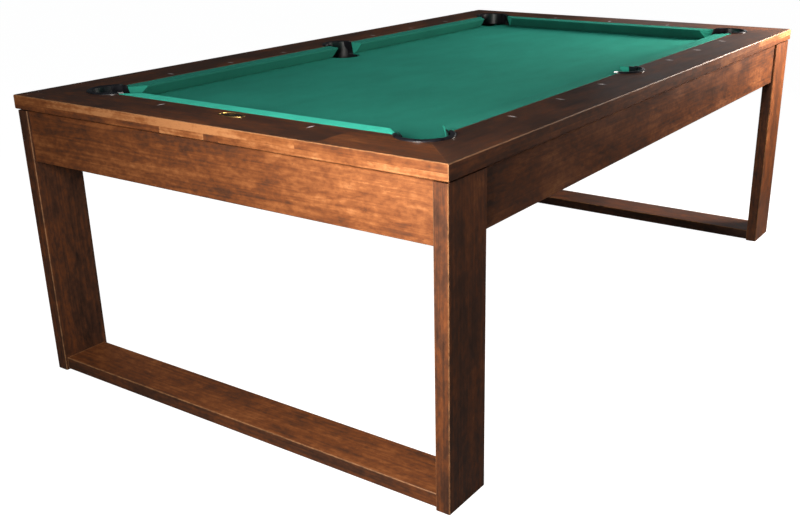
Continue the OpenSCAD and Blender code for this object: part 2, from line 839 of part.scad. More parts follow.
module pad() color(BLACK) difference() {
    union() {
        rod(pad_r, pad_t, pad_rise);
        rod(hub_r, pad_t + hub_h - 0.5, pad_rise + 0.5);
    }
    rod(pin_r + FIT, pad_t + hub_h, pad_rise + 2);
}

module stem() color(STEEL) {
    rod(pin_r, collar_z - pad_rise - 2.5 + 0.5, pad_rise + 2.5);
    translate([0, 0, collar_z]) cylinder(r = hub_r, h = collar_h, $fn = 6);
    rod(level_d / 2, stem_l, collar_z + collar_h - 0.5);
}

module leveller_pad_head_left() at_leveller(-1, 1) pad();
module leveller_pad_head_right() at_leveller(-1, -1) pad();
module leveller_pad_foot_left() at_leveller(1, 1) pad();
module leveller_pad_foot_right() at_leveller(1, -1) pad();
module leveller_stem_head_left() at_leveller(-1, 1) stem();
module leveller_stem_head_right() at_leveller(-1, -1) stem();
module leveller_stem_foot_left() at_leveller(1, 1) stem();
module leveller_stem_foot_right() at_leveller(1, -1) stem();

rail_head();
rail_foot();
rail_left();
rail_right();
cushion_head();
cushion_foot();
cushion_left_head();
cushion_left_foot();
cushion_right_head();
cushion_right_foot();
cushion_cloths();
pocket_facings();
feather_strips();
rail_sights();
nameplate();
bed_cloth();
slate_head();
slate_centre();
slate_foot();
slate_ledgers();
pocket_collar_head_left();
pocket_collar_head_right();
pocket_collar_side_left();
pocket_collar_side_right();
pocket_collar_foot_left();
pocket_collar_foot_right();
pocket_bucket_head_left();
pocket_bucket_head_right();
pocket_bucket_side_left();
pocket_bucket_side_right();
pocket_bucket_foot_left();
pocket_bucket_foot_right();
pocket_rivets();
frame_sides();
frame_ends();
cross_beams();
apron_head();
apron_foot();
apron_left();
apron_right();
leg_head_left();
leg_head_right();
leg_foot_left();
leg_foot_right();
plank_head();
plank_foot();
plank_dowels();
leg_bolts();
rail_bolts();
threaded_inserts();
apron_spacers();
wood_screws();
leveller_pad_head_left();
leveller_pad_head_right();
leveller_pad_foot_left();
leveller_pad_foot_right();
leveller_stem_head_left();
leveller_stem_head_right();
leveller_stem_foot_left();
leveller_stem_foot_right();
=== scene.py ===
import math

import bmesh
import bpy
from mathutils import Matrix, Vector


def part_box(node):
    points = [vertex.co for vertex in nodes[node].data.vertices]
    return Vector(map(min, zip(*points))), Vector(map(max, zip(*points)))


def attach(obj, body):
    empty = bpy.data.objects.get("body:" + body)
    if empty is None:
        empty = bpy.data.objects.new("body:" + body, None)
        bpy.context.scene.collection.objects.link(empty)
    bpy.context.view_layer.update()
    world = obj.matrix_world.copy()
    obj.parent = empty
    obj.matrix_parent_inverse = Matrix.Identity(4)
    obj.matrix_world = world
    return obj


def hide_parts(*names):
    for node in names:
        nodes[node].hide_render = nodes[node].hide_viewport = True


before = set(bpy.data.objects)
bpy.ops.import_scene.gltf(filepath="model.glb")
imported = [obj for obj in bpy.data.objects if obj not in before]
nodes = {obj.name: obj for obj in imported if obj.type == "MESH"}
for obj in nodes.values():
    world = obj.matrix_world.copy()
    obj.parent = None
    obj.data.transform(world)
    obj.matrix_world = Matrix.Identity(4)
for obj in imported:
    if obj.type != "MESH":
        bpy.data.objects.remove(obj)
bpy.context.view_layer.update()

# ------------------------------------------------------------------ sizes
# Metres, in the frame's own axes: X to the foot end, Y to the left side, Z up.

HALF_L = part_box("rail_left")[1].x
HALF_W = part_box("rail_left")[1].y
RAIL_BOTTOM, RAIL_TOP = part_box("rail_left")[0].z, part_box("rail_left")[1].z
BED_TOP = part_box("bed_cloth")[1].z

NOSE_IN = 0.202
NOSE_Z = 0.035
RAIL_T = RAIL_TOP - RAIL_BOTTOM
CORNER_TIP = 0.120 / math.sqrt(2)
SIDE_TIP = 0.065
CORNER_FACING, SIDE_FACING = math.radians(42), math.radians(76)
FACING_DRAFT = math.radians(12)
CORNER_IN, SIDE_IN = 0.183, 0.168
CUT_R = 0.0613
CLOTH_T = 0.0009

# Added to a box so that its edge lies well clear of the wood
BEYOND = 1.0

# ------------------------------------------------------------------ node helpers


class Graph:
    """A small wrapper that makes and links shader nodes."""

    def __init__(self, tree):
        self.tree = tree
        self.nodes = tree.nodes
        self.links = tree.links

    def add(self, kind, **settings):
        node = self.nodes.new(kind)
        for name, value in settings.items():
            if name in node.inputs.keys():
                self.put(node.inputs[name], value)
            else:
                setattr(node, name, value)
        return node

    def put(self, socket, value):
        if isinstance(value, bpy.types.NodeSocket):
            self.links.new(value, socket)
        else:
            socket.default_value = value

    def math(self, operation, a, b=0.0, clamp=False):
        node = self.nodes.new("ShaderNodeMath")
        node.operation = operation
        node.use_clamp = clamp
        self.put(node.inputs[0], a)
        self.put(node.inputs[1], b)
        return node.outputs[0]

    def remap(self, value, low, high, to_low=0.0, to_high=1.0):
        node = self.nodes.new("ShaderNodeMapRange")
        node.interpolation_type = "SMOOTHSTEP"
        self.put(node.inputs["Value"], value)
        self.put(node.inputs["From Min"], low)
        self.put(node.inputs["From Max"], high)
        self.put(node.inputs["To Min"], to_low)
        self.put(node.inputs["To Max"], to_high)
        return node.outputs[0]

    def mix(self, factor, a, b):
        node = self.nodes.new("ShaderNodeMix")
        node.data_type = "RGBA"
        self.put(node.inputs["Factor"], factor)
        self.put(node.inputs[6], a)
        self.put(node.inputs[7], b)
        return node.outputs[2]

    def noise(self, vector, scale, detail=3.0, roughness=0.5, distortion=0.0):
        node = self.nodes.new("ShaderNodeTexNoise")
        self.put(node.inputs["Vector"], vector)
        self.put(node.inputs["Scale"], scale)
        node.inputs["Detail"].default_value = detail
        node.inputs["Roughness"].default_value = roughness
        node.inputs["Distortion"].default_value = distortion
        return node.outputs[0]

    def mapping(self, vector, scale=(1, 1, 1), location=(0, 0, 0), rotation=(0, 0, 0)):
        node = self.nodes.new("ShaderNodeMapping")
        self.put(node.inputs["Vector"], vector)
        self.put(node.inputs["Scale"], scale)
        self.put(node.inputs["Location"], location)
        self.put(node.inputs["Rotation"], rotation)
        return node.outputs[0]

    def bump(self, height, distance, strength=1.0, normal=None):
        node = self.nodes.new("ShaderNodeBump")
        self.put(node.inputs["Height"], height)
        node.inputs["Distance"].default_value = distance
        node.inputs["Strength"].default_value = strength
        if normal is not None:
            self.put(node.inputs["Normal"], normal)
        return node.outputs[0]


def new_material(name, **settings):
    """A material with one Principled shader, whose plain sockets are set from settings."""
    material = bpy.data.materials.new(name)
    material.use_nodes = True
    graph = Graph(material.node_tree)
    shader = graph.nodes["Principled BSDF"]
    for socket, value in settings.items():
        graph.put(shader.inputs[socket.replace("_", " ")], value)
    return material, graph, shader


def paint(names, material):
    """Puts a material on CAD nodes."""
    for name in names:
        mesh = nodes[name].data
        mesh.materials.clear()
        mesh.materials.append(material)


# ------------------------------------------------------------------ wood

GRAIN_TURN = {
    "X": (0, 0, 0),
    "Y": (0, 0, math.radians(-90)),
    "Z": (0, math.radians(90), 0),
}


def make_grain_group():
    """Stained maple, with its grain along the vector's X: colour, roughness and height."""
    tree = bpy.data.node_groups.new("maple_grain", "ShaderNodeTree")
    face = tree.interface
    face.new_socket("Vector", in_out="INPUT", socket_type="NodeSocketVector")
    for name in ("Board", "Figure", "Edge"):
        face.new_socket(name, in_out="INPUT", socket_type="NodeSocketFloat")
    face.new_socket("Color", in_out="OUTPUT", socket_type="NodeSocketColor")
    face.new_socket("Roughness", in_out="OUTPUT", socket_type="NodeSocketFloat")
    face.new_socket("Height", in_out="OUTPUT", socket_type="NodeSocketFloat")
    g = Graph(tree)
    inputs = g.add("NodeGroupInput")
    outputs = g.add("NodeGroupOutput")
    at, board, figure, edge = (inputs.outputs[n] for n in ("Vector", "Board", "Figure", "Edge"))

    wander = g.noise(g.mapping(at, scale=(1.3, 5.5, 5.5)), 1.0, 2.0, 0.5, 0.5)
    rings = g.math("FRACT", g.math("MULTIPLY", wander, 16.0))
    rings = g.remap(g.math("ABSOLUTE", g.math("SUBTRACT", rings, 0.5)), 0.0, 0.22, -1.0, 0.25)
    blotches = g.noise(g.mapping(at, scale=(3.0, 8.0, 8.0)), 1.0, 3.0, 0.55, 0.4)
    clouds = g.noise(g.mapping(at, scale=(13, 30, 30)), 1.0, 3.0, 0.6, 0.6)
    mottle = g.noise(g.mapping(at, scale=(60, 95, 95)), 1.0, 3.0, 0.6)
    streaks = g.noise(g.mapping(at, scale=(2.4, 150, 150)), 1.0, 3.0, 0.6, 0.2)
    flecks = g.noise(g.mapping(at, scale=(95, 1100, 1100)), 1.0, 1.0, 0.5)
    flecks = g.remap(flecks, 0.63, 0.72)

    tone = g.math("MULTIPLY", g.remap(blotches, 0.28, 0.72, -1, 1), 0.15)
    tone = g.math("ADD", tone, g.math("MULTIPLY", g.remap(clouds, 0.28, 0.72, -1, 1), 0.11))
    tone = g.math("ADD", tone, g.math("MULTIPLY", g.remap(mottle, 0.3, 0.7, -1, 1), 0.085))
    tone = g.math("ADD", tone, g.math("MULTIPLY", g.remap(streaks, 0.3, 0.7, -1, 1), 0.10))
    tone = g.math("ADD", tone, g.math("MULTIPLY", rings, figure))
    tone = g.math("ADD", tone, board)
    tone = g.math("ADD", tone, 0.5, clamp=True)

    ramp = g.add("ShaderNodeValToRGB")
    g.put(ramp.inputs["Fac"], tone)
    band = ramp.color_ramp
    band.elements[0].position, band.elements[0].color = WOOD_STOPS[0][0], (*WOOD_STOPS[0][1], 1)
    band.elements[1].position, band.elements[1].color = WOOD_STOPS[-1][0], (*WOOD_STOPS[-1][1], 1)
    for position, colour in WOOD_STOPS[1:-1]:
        band.elements.new(position).color = (*colour, 1)
    colour = g.mix(g.math("MULTIPLY", flecks, 0.50), ramp.outputs[0], (0.022, 0.008, 0.004, 1))
    # Edges are lightened towards the edge colour: partly stain worn off, partly a painted highlight on
    # the arrises.
    edge_wear_and_highlight = g.math("MULTIPLY", edge, g.remap(mottle, 0.32, 0.62, 0.35, 1.0))
    colour = g.mix(g.math("MULTIPLY", edge_wear_and_highlight, 0.6), colour, WORN_AND_HIGHLIGHT_EDGE)
    g.put(outputs.inputs["Color"], colour)

    rough = g.remap(blotches, 0.3, 0.7, 0.38, 0.46)
    rough = g.math("ADD", rough, g.math("MULTIPLY", mottle, 0.06))
    g.put(outputs.inputs["Roughness"], rough)
    height = g.math("SUBTRACT", g.math("MULTIPLY", streaks, 0.5), g.math("MULTIPLY", flecks, 0.6))
    height = g.math("ADD", height, g.math("MULTIPLY", mottle, 0.3))
    g.put(outputs.inputs["Height"], height)
    return tree


WOOD_STOPS = [
    (0.0, (0.032, 0.0155, 0.0100)),
    (0.30, (0.080, 0.0315, 0.0160)),
    (0.55, (0.163, 0.0510, 0.0165)),
    (0.80, (0.275, 0.0960, 0.0300)),
    (1.0, (0.430, 0.1850, 0.0700)),
]
# Edge colour: partly worn stain, partly painted highlight.
WORN_AND_HIGHLIGHT_EDGE = (0.46, 0.230, 0.100, 1)
WEAR_INNER, WEAR_OUTER = 0.0012, 0.0030
MITRE_WEAR_AND_HIGHLIGHT = 1.5 * WEAR_INNER
BOARD_SHIFT = (23.0, 11.0)
STRIP_SHARE = 0.45
# Painted shade darkens the rails' top faces, from this far below the top.
SHADED_TOP_EDGE = 0.0012
PLANK_FRONT = 0.0015

# The first piece of a strip starts well before the table does
FROM_START = -9
GRAIN = make_grain_group()


def edge_distance(g, at, low, high):
    """How far a point on a box's surface is from the box's nearest edge, in metres."""
    centre = (low + high) / 2
    half = (high - low) / 2
    offset = g.add("ShaderNodeVectorMath", operation="SUBTRACT")
    g.put(offset.inputs[0], at)
    offset.inputs[1].default_value = centre
    size = g.add("ShaderNodeVectorMath", operation="ABSOLUTE")
    g.put(size.inputs[0], offset.outputs[0])
    inside = g.add("ShaderNodeVectorMath", operation="SUBTRACT")
    inside.inputs[0].default_value = half
    g.put(inside.inputs[1], size.outputs[0])
    parts = g.add("ShaderNodeSeparateXYZ")
    g.put(parts.inputs[0], inside.outputs[0])
    a, b, c = parts.outputs[0], parts.outputs[1], parts.outputs[2]
    nearer = g.math("MINIMUM", a, b)
    return g.math("MAXIMUM", nearer, g.math("MINIMUM", g.math("MAXIMUM", a, b), c))


def strips(g, at, axis, across, joints):
    """Tone of the finger-jointed pieces in a board's strips. joints is, for each strip from
    the lowest up, its top and then its pieces, each as the place along the grain where it
    starts and its tone. The last strip's top is past the board."""
    parts = g.add("ShaderNodeSeparateXYZ")
    g.put(parts.inputs[0], at)
    along = parts.outputs["XYZ".index(axis)]
    height = parts.outputs["XYZ".index(across)]
    share = g.math("ADD", g.math("DIVIDE", along, 2 * HALF_L), 0.5)
    tone = None
    for top, pieces in reversed(joints):
        ramp = g.add("ShaderNodeValToRGB")
        g.put(ramp.inputs["Fac"], share)
        band = ramp.color_ramp
        band.interpolation = "CONSTANT"
        band.elements.remove(band.elements[1])
        band.elements[0].position = 0
        band.elements[0].color = (pieces[0][1],) * 3 + (1,)
        for start, value in pieces[1:]:
            band.elements.new(start / (2 * HALF_L) + 0.5).color = (value,) * 3 + (1,)
        own = g.add("ShaderNodeSeparateColor")
        g.put(own.inputs[0], ramp.outputs[0])
        if tone is None:
            tone = own.outputs[0]
        else:
            below = g.math("LESS_THAN", height, top)
            tone = g.math(
                "ADD", g.math("MULTIPLY", own.outputs[0], below),
                g.math("MULTIPLY", tone, g.math("SUBTRACT", 1.0, below)),
            )
    return g.math("SUBTRACT", tone, 0.5)


def wood(name, axis, offset, box, figure=0.0, tone=0.0, across=None, joints=None, mitred=False):
    """Stained maple on one part, whose box gives the edges that are lightened: partly worn stain, partly
    painted highlight.
    """
    material, g, shader = new_material(
        name,
        Specular_IOR_Level=0.36,
        Coat_Weight=0.10,
        Coat_Roughness=0.28,
    )
    at = g.add("ShaderNodeTexCoord").outputs["Object"]
    turned = g.mapping(at, rotation=GRAIN_TURN[axis], location=offset)
    board = tone
    if joints:
        own = strips(g, at, axis, across, joints)
        board = g.math("ADD", own, tone)
        shift = g.add("ShaderNodeCombineXYZ")
        for socket, amount in zip(shift.inputs, BOARD_SHIFT):
            g.put(socket, g.math("MULTIPLY", own, amount))
        moved = g.add("ShaderNodeVectorMath", operation="ADD")
        g.put(moved.inputs[0], turned)
        g.put(moved.inputs[1], shift.outputs[0])
        turned = moved.outputs[0]
    low, high = box
    nearest = edge_distance(g, at, Vector((low.x, low.y, low.z - WEAR_OUTER)), high)
    # The mitres get a lighter line too: partly wear, partly painted highlight.
    if mitred:
        nearest = g.math("MINIMUM", nearest, mitre_distance(g, at))
    grain = g.add("ShaderNodeGroup", node_tree=GRAIN)
    g.put(grain.inputs["Vector"], turned)
    g.put(grain.inputs["Board"], board)
    g.put(grain.inputs["Figure"], figure)
    g.put(grain.inputs["Edge"], g.remap(nearest, WEAR_INNER, WEAR_OUTER, 1.0, 0.0))
    g.put(shader.inputs["Base Color"], grain.outputs["Color"])
    g.put(shader.inputs["Roughness"], grain.outputs["Roughness"])
    g.put(shader.inputs["Normal"], g.bump(grain.outputs["Height"], 0.00010, 0.5))
    return material



def mitre_distance(g, at):
    """How far a point on the rails is from the nearest mitre, in metres."""
    parts = g.add("ShaderNodeSeparateXYZ")
    g.put(parts.inputs[0], at)
    from_end = g.math("SUBTRACT", HALF_L, g.math("ABSOLUTE", parts.outputs[0]))
    from_side = g.math("SUBTRACT", HALF_W, g.math("ABSOLUTE", parts.outputs[1]))
    apart = g.math("ABSOLUTE", g.math("SUBTRACT", from_end, from_side))
    return g.math("ADD", g.math("MULTIPLY", apart, math.sqrt(0.5)), MITRE_WEAR_AND_HIGHLIGHT)


def rail_joints(lower, upper, top):
    """The two strips of a rail, given the pieces of each, and painted shade on its top: the top face is
    given its own darker tones.
    """
    return [
        (RAIL_BOTTOM + STRIP_SHARE * RAIL_T, lower),
        (RAIL_TOP - SHADED_TOP_EDGE, upper),
        (RAIL_TOP + BEYOND, top),
    ]


# For each rail: the pieces of its lower strip and of its upper strip, and the tones of painted shade that
# darken its top face.
RAIL_PIECES = {
    "head": (
        [(FROM_START, 0.74), (-0.07, 0.50), (-0.02, 0.82), (0.13, 0.56), (0.56, 0.62)],
        [(FROM_START, 0.62), (-0.30, 0.96), (0.21, 0.82)],
        [(FROM_START, 0.42), (-0.36, 0.32), (0.38, 0.37)],
    ),
    "foot": (
        [(FROM_START, 0.50), (-0.30, 0.42), (0.05, 0.56), (0.41, 0.46)],
        [(FROM_START, 0.46), (-0.19, 0.56), (0.24, 0.40), (0.38, 0.52)],
        [(FROM_START, 0.30)],
    ),
    "left": (
        [(FROM_START, 0.50), (-0.60, 0.56), (-0.05, 0.44), (0.52, 0.52)],
        [(FROM_START, 0.50), (-0.37, 0.42), (0.31, 0.54)],
        [(FROM_START, 0.32)],
    ),
    "right": (
        [(FROM_START, 0.46), (-0.72, 0.52), (-0.18, 0.44), (0.40, 0.66)],
        [(FROM_START, 0.48), (-0.45, 0.42), (0.22, 0.58), (0.80, 0.88)],
        [(FROM_START, 0.24)],
    ),
}


# Painted shade: the legs are darkened by these tones, most the head_left leg, which stands in shade.
LEG_SHADE_TONE = {"head_left": -0.20, "head_right": -0.12, "foot_left": -0.12, "foot_right": -0.04}


def paint_wood():
    rails = {"head": "Y", "foot": "Y", "left": "X", "right": "X"}
    for i, (side, axis) in enumerate(rails.items()):
        name = f"rail_{side}"
        seed = (1.7 * i + 0.4, 3.1 * i, 0.9 * i)
        joints = rail_joints(*RAIL_PIECES[side])
        paint([name], wood(f"maple_{name}", axis, seed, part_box(name), 0.02, 0.0, "Z", joints, True))
    for i, (side, axis) in enumerate(rails.items()):
        name = f"apron_{side}"
        low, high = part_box(name)
        margin = Vector((BEYOND, BEYOND, BEYOND))
        far_box = (low - margin, high + margin)
        seed = (2.3 * i + 5, 1.3 * i + 2, 0.7 * i)
        paint([name], wood(f"maple_{name}", axis, seed, far_box, 0.07, 0.06))
    for i, corner in enumerate(CORNERS):
        name = f"leg_{corner}"
        low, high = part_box(name)
        seed = (1.9 * i + 9, 2.7 * i + 1, 1.1 * i)
        open_box = (low, high + Vector((0, 0, BEYOND)))
        paint([name], wood(f"maple_{name}", "Z", seed, open_box, 0.07, LEG_SHADE_TONE[corner]))
    for i, end in enumerate(("head", "foot")):
        name = f"plank_{end}"
        # Painted shade: the plank's front face and the first PLANK_FRONT of its top get a darker tone,
        # and the foot plank is darker all over (the -0.12 * i tone), for the shade under the table.
        shaded_front = [
            (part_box(name)[0].x + PLANK_FRONT, [(FROM_START, 0.36)]),
            (HALF_L + BEYOND, [(FROM_START, 0.5)]),
        ]
        seed = (3.7 * i + 13, 1.7 * i, 0.6 * i)
        paint([name], wood(f"maple_{name}", "Y", seed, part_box(name), 0.04, -0.12 * i, "X", shaded_front))


CORNERS = ("head_left", "head_right", "foot_left", "foot_right")


def plain_wood(name, light, dark, axis, scale):
    """Bare wood or plywood for the parts inside."""
    material, g, shader = new_material(name, Roughness=0.62)
    at = g.add("ShaderNodeTexCoord").outputs["Object"]
    turned = g.mapping(at, rotation=GRAIN_TURN[axis], scale=scale)
    grain = g.noise(turned, 1.0, 4.0, 0.6, 0.4)
    g.put(shader.inputs["Base Color"], g.mix(g.remap(grain, 0.3, 0.7), dark, light))
    g.put(shader.inputs["Normal"], g.bump(grain, 0.0002, 0.5))
    return material


# ------------------------------------------------------------------ cloth


THREAD = 0.0011
CUT_END_FROM, CUT_END_TO = 0.4, 0.7
UP_FROM, UP_TO = 0.80, 0.98


def cloth_material(name, tint, ribs=None, face_top_light=(1.0, 1.0)):
    """Worsted billiard cloth: a fine close weave with chalk dust. ribs is the axis that
    the cloth is pulled along where it is stretched over a cushion. The last argument
    is painted light: the factors by which a cushion's face and its top are made darker
    or lighter for how the lamps fall on them. Its cut ends are painted lighter too."""
    material, g, shader = new_material(
        name,
        Roughness=0.86,
        Specular_IOR_Level=0.12,
        Sheen_Weight=0.06,
        Sheen_Roughness=0.4,
        Sheen_Tint=(0.12, 0.95, 0.75, 1),
    )
    at = g.add("ShaderNodeTexCoord").outputs["Object"]
    weave_u = g.math("SINE", g.math("MULTIPLY", axis_of(g, at, 0, 1), 2 * math.pi / THREAD))
    weave_v = g.math("SINE", g.math("MULTIPLY", axis_of(g, at, 1, -1), 2 * math.pi / THREAD))
    weave = g.math("MULTIPLY", weave_u, weave_v)
    fuzz = g.noise(at, 900.0, 2.0, 0.6)
    clouds = g.noise(at, 2.6, 4.0, 0.55)
    drift = g.noise(g.mapping(at, scale=(0.6, 1.6, 1.0)), 9.0, 3.0, 0.6)
    tone = g.math("ADD", g.remap(clouds, 0.3, 0.7, -0.07, 0.07), g.remap(drift, 0.3, 0.7, -0.05, 0.05))
    tone = g.math("ADD", tone, g.math("MULTIPLY", g.math("SUBTRACT", fuzz, 0.5), 0.32))
    tone = g.math("ADD", tone, g.math("MULTIPLY", weave, 0.035))
    value = g.math("ADD", tone, 1.0)
    dyed = g.add("ShaderNodeHueSaturation")
    dyed.inputs["Color"].default_value = (*tint, 1)
    g.put(dyed.inputs["Value"], value)
    chalk = g.noise(g.mapping(at, scale=(34, 62, 50), rotation=(0, 0, 0.6)), 1.0, 5.0, 0.7, 0.5)
    rare = g.noise(g.mapping(at, location=(3.1, 1.7, 0)), 3.4, 1.0, 0.5)
    dust = g.math("MULTIPLY", g.remap(chalk, 0.68, 0.80), g.remap(rare, 0.60, 0.72))
    colour = g.mix(g.math("MULTIPLY", dust, 0.5), dyed.outputs[0], (0.30, 0.62, 0.56, 1))
    g.put(shader.inputs["Base Color"], colour)
    normal = g.bump(g.math("ADD", g.math("MULTIPLY", weave, 0.4), fuzz), 0.00016, 0.55)
    if ribs is not None:
        # Painted light: faces and tops are darkened or lightened by the side's factors, and the cut ends
        # are lightened, for how the lamps fall on them.
        normal_parts = g.add("ShaderNodeSeparateXYZ")
        g.put(normal_parts.inputs[0], g.add("ShaderNodeTexCoord").outputs["Normal"])
        painted_light_factor = g.remap(normal_parts.outputs[2], UP_FROM, UP_TO, *face_top_light)
        along = g.math("ABSOLUTE", normal_parts.outputs["XYZ".index(ribs)], 0.0)
        painted_light_factor = g.math("MAXIMUM", painted_light_factor, g.remap(along, CUT_END_FROM, CUT_END_TO, 0.0, CUT_END_LIGHT))
        value = g.math("MULTIPLY", value, painted_light_factor)
        g.put(dyed.inputs["Value"], value)
        scale = (95, 6, 6) if ribs == "X" else (6, 95, 6)
        pull = g.noise(g.mapping(at, scale=scale), 1.0, 2.0, 0.5, 0.2)
        normal = g.bump(pull, 0.0012, 0.45, normal)
    g.put(shader.inputs["Normal"], normal)
    return material


def axis_of(g, at, index, sign):
    """The point's coordinate along a slanting line, so that the weave shows on any side."""
    parts = g.add("ShaderNodeSeparateXYZ")
    g.put(parts.inputs[0], at)
    along = g.math("ADD", parts.outputs[0], g.math("MULTIPLY", parts.outputs[1], float(sign)))
    return g.math("ADD", along, g.math("MULTIPLY", parts.outputs[2], 1.0 + index))


# ------------------------------------------------------------------ cushions

# Cloth over a cushion, as (in from the rail's outer edge, up from the rail's bottom),
# from the groove that it is wedged into, over the nose, to its staples under the rail.
TUCK = (0.1514, 0.0300)
TOP_EDGE = (0.1520, 0.0380)
NOSE_TOP = (0.2008, 0.0370)
NOSE = (0.2020, 0.0350)
NOSE_UNDER = (0.2003, 0.0317)
FOOT_OUT = (0.1800, 0.0070)
FOOT_IN = (0.1720, 0.0001)
STAPLES = (0.1600, 0.0001)


def rounded(points, radii, steps=4):
    """A polyline with its inner corners rounded by short curves."""
    out = [Vector(points[0])]
    for before, corner, after, r in zip(points, points[1:], points[2:], radii):
        a, b, c = Vector(before), Vector(corner), Vector(after)
        p = b + (a - b).normalized() * r
        q = b + (c - b).normalized() * r
        for i in range(steps + 1):
            t = i / steps
            out.append(p * (1 - t) ** 2 + b * 2 * t * (1 - t) + q * t * t)
    out.append(Vector(points[-1]))
    return out


def refined(points, longest):
    """The same polyline with its long stretches cut up."""
    out = [points[0]]
    for a, b in zip(points, points[1:]):
        count = max(1, math.ceil((b - a).length / longest))
        out += [a.lerp(b, (i + 1) / count) for i in range(count)]
    return out


SECTION = refined(
    rounded(
        [TUCK, TOP_EDGE, NOSE_TOP, NOSE, NOSE_UNDER, FOOT_OUT, FOOT_IN, STAPLES],
        [0.0006, 0.0010, 0.0011, 0.0014, 0.0030, 0.0030],
    ),
    0.0045,
)


def facing_normal(turn):
    """Outward normal of a cushion's cut end."""
    return (Matrix.Rotation(turn, 3, "Z") @ Matrix.Rotation(FACING_DRAFT, 3, "Y")) @ Vector((1, 0, 0))


def end_at(tip_x, turn, point):
    """Where a cushion's cut end crosses the line along the rail through a point of its section."""
    n = facing_normal(turn)
    return tip_x - (n.y * (point.x - NOSE_IN) + n.z * (point.y - NOSE_Z)) / n.x


def stations(length, fine=0.070, step=0.0025, coarse=0.030):
    """Shares of a cushion's length at which it has a ring of points, close together at its ends."""
    near = [i * step for i in range(round(fine / step))]
    count = max(2, round((length - 2 * fine) / coarse))
    middle = [fine + (length - 2 * fine) * i / count for i in range(count + 1)]
    far = [length - x for x in reversed(near)]
    return [x / length for x in near + middle + far]


SEAM_R = 0.0022


def cushion_cloth(name, start, end, place, material):
    """Cloth over one cushion. start and end are (tip, turn) of its cut ends in the rail's
    own frame, and place turns that frame into the table's."""
    mesh = bpy.data.meshes.new(name)
    bm = bmesh.new()
    length = end[0] - start[0]
    shares = stations(length)
    rows = []
    for share in shares:
        row = []
        for p in SECTION:
            low, high = end_at(*start, p), end_at(*end, p)
            x = low + (high - low) * share
            gap = min(x - low, high - x)
            lift = fold_lift(gap, p)
            row.append(bm.verts.new((x, p.x + lift.x, p.y + lift.y)))
        rows.append(row)
    for a, b in zip(rows, rows[1:]):
        for i in range(len(SECTION) - 1):
            bm.faces.new((a[i], a[i + 1], b[i + 1], b[i]))
    bm.faces.new(rows[0])
    bm.faces.new(list(reversed(rows[-1])))
    bmesh.ops.recalc_face_normals(bm, faces=bm.faces)
    seams = [e for e in bm.edges if len(e.link_faces) == 2 and is_cap_edge(e, rows)]
    bmesh.ops.bevel(bm, geom=seams, offset=SEAM_R, segments=3, profile=0.5, affect="EDGES")
    bm.transform(place)
    face_up(bm)
    bm.to_mesh(mesh)
    bm.free()
    for face in mesh.polygons:
        face.use_smooth = True
    obj = bpy.data.objects.new(name, mesh)
    bpy.context.scene.collection.objects.link(obj)
    mesh.materials.append(material)
    solid = obj.modifiers.new("thickness", "SOLIDIFY")
    solid.thickness = CLOTH_T
    solid.offset = -1.0
    weighted = obj.modifiers.new("normals", "WEIGHTED_NORMAL")
    weighted.keep_sharp = True
    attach(obj, "table")
    return obj


def face_up(bm):
    """Turns a skin so that its highest faces look up."""
    bm.normal_update()
    highest = max(bm.faces, key=lambda f: (round(f.calc_center_median().z, 4), f.calc_area()))
    if highest.normal.z < 0:
        bmesh.ops.reverse_faces(bm, faces=bm.faces)


def is_cap_edge(edge, rows):
    """True for the edges between a cushion's cut ends and its long faces."""
    caps = set(rows[0]), set(rows[-1])
    return any(edge.verts[0] in cap and edge.verts[1] in cap for cap in caps)


FOLD_T = 0.00075
FOLD_FADE = 0.0030
FACE_FROM_X, FACE_TO_Y, TOP_FROM_X = 0.176, 0.036, 0.1530
FACE_REACH, FACE_SLANT, FACE_MIDDLE = 0.034, 0.35, 0.020
TOP_REACH, TOP_SLANT = 0.030, 0.25
FACE_LIFT, TOP_LIFT = (0.77, -0.64), (0.0, 0.45)


def fold_lift(gap, p):
    """How far the cloth stands off near a cut end, where a fold of it is laid over."""
    over_face = p.x > FACE_FROM_X and p.y < FACE_TO_Y
    if over_face:
        reach = FACE_REACH - FACE_SLANT * (p.y - FACE_MIDDLE)
    else:
        reach = TOP_REACH - TOP_SLANT * (NOSE_IN - p.x)
    blend = max(0.0, min(1.0, (reach - gap) / FOLD_FADE))
    blend = blend * blend * (3 - 2 * blend)
    height = FOLD_T * blend
    if over_face:
        return Vector(FACE_LIFT) * height
    if p.x > TOP_FROM_X and p.y > FACE_TO_Y:
        return Vector(TOP_LIFT) * height
    return Vector((0.0, 0.0))


def rail_place(side, mirrored):
    """Matrix from a rail's own frame, with X along it and Y inwards, to the table's."""
    turn = {"right": 0, "foot": 90, "left": 180, "head": -90}[side]
    out = HALF_W if side in ("right", "left") else HALF_L
    flip = Matrix.Scale(-1, 4, (1, 0, 0)) if mirrored else Matrix.Identity(4)
    lift = Matrix.Translation((0, -out, RAIL_BOTTOM))
    return Matrix.Rotation(math.radians(turn), 4, "Z") @ lift @ flip


def make_cushions():
    corner_turn = math.pi / 2 - CORNER_FACING
    side_turn = math.pi / 2 + SIDE_FACING
    for side, (ribs, face_top_light) in CUSHION_CLOTH.items():
        material = cloth_material(f"cushion_cloth_{side}", CLOTH_TINT, ribs, face_top_light)
        if side in ("head", "foot"):
            tip = HALF_W - NOSE_IN - CORNER_TIP
            start, end = (-tip, math.pi - corner_turn), (tip, corner_turn)
            piece = cushion_cloth(f"cloth_{side}", start, end, rail_place(side, False), material)
            declare_cushion()
            continue
        tip = HALF_L - NOSE_IN - CORNER_TIP
        start, end = (SIDE_TIP, side_turn), (tip, corner_turn)
        for mirrored in (False, True):
            half = "foot" if (side == "right") != mirrored else "head"
            place = rail_place(side, mirrored)
            piece = cushion_cloth(f"cloth_{side}_{half}", start, end, place, material)
            declare_cushion()


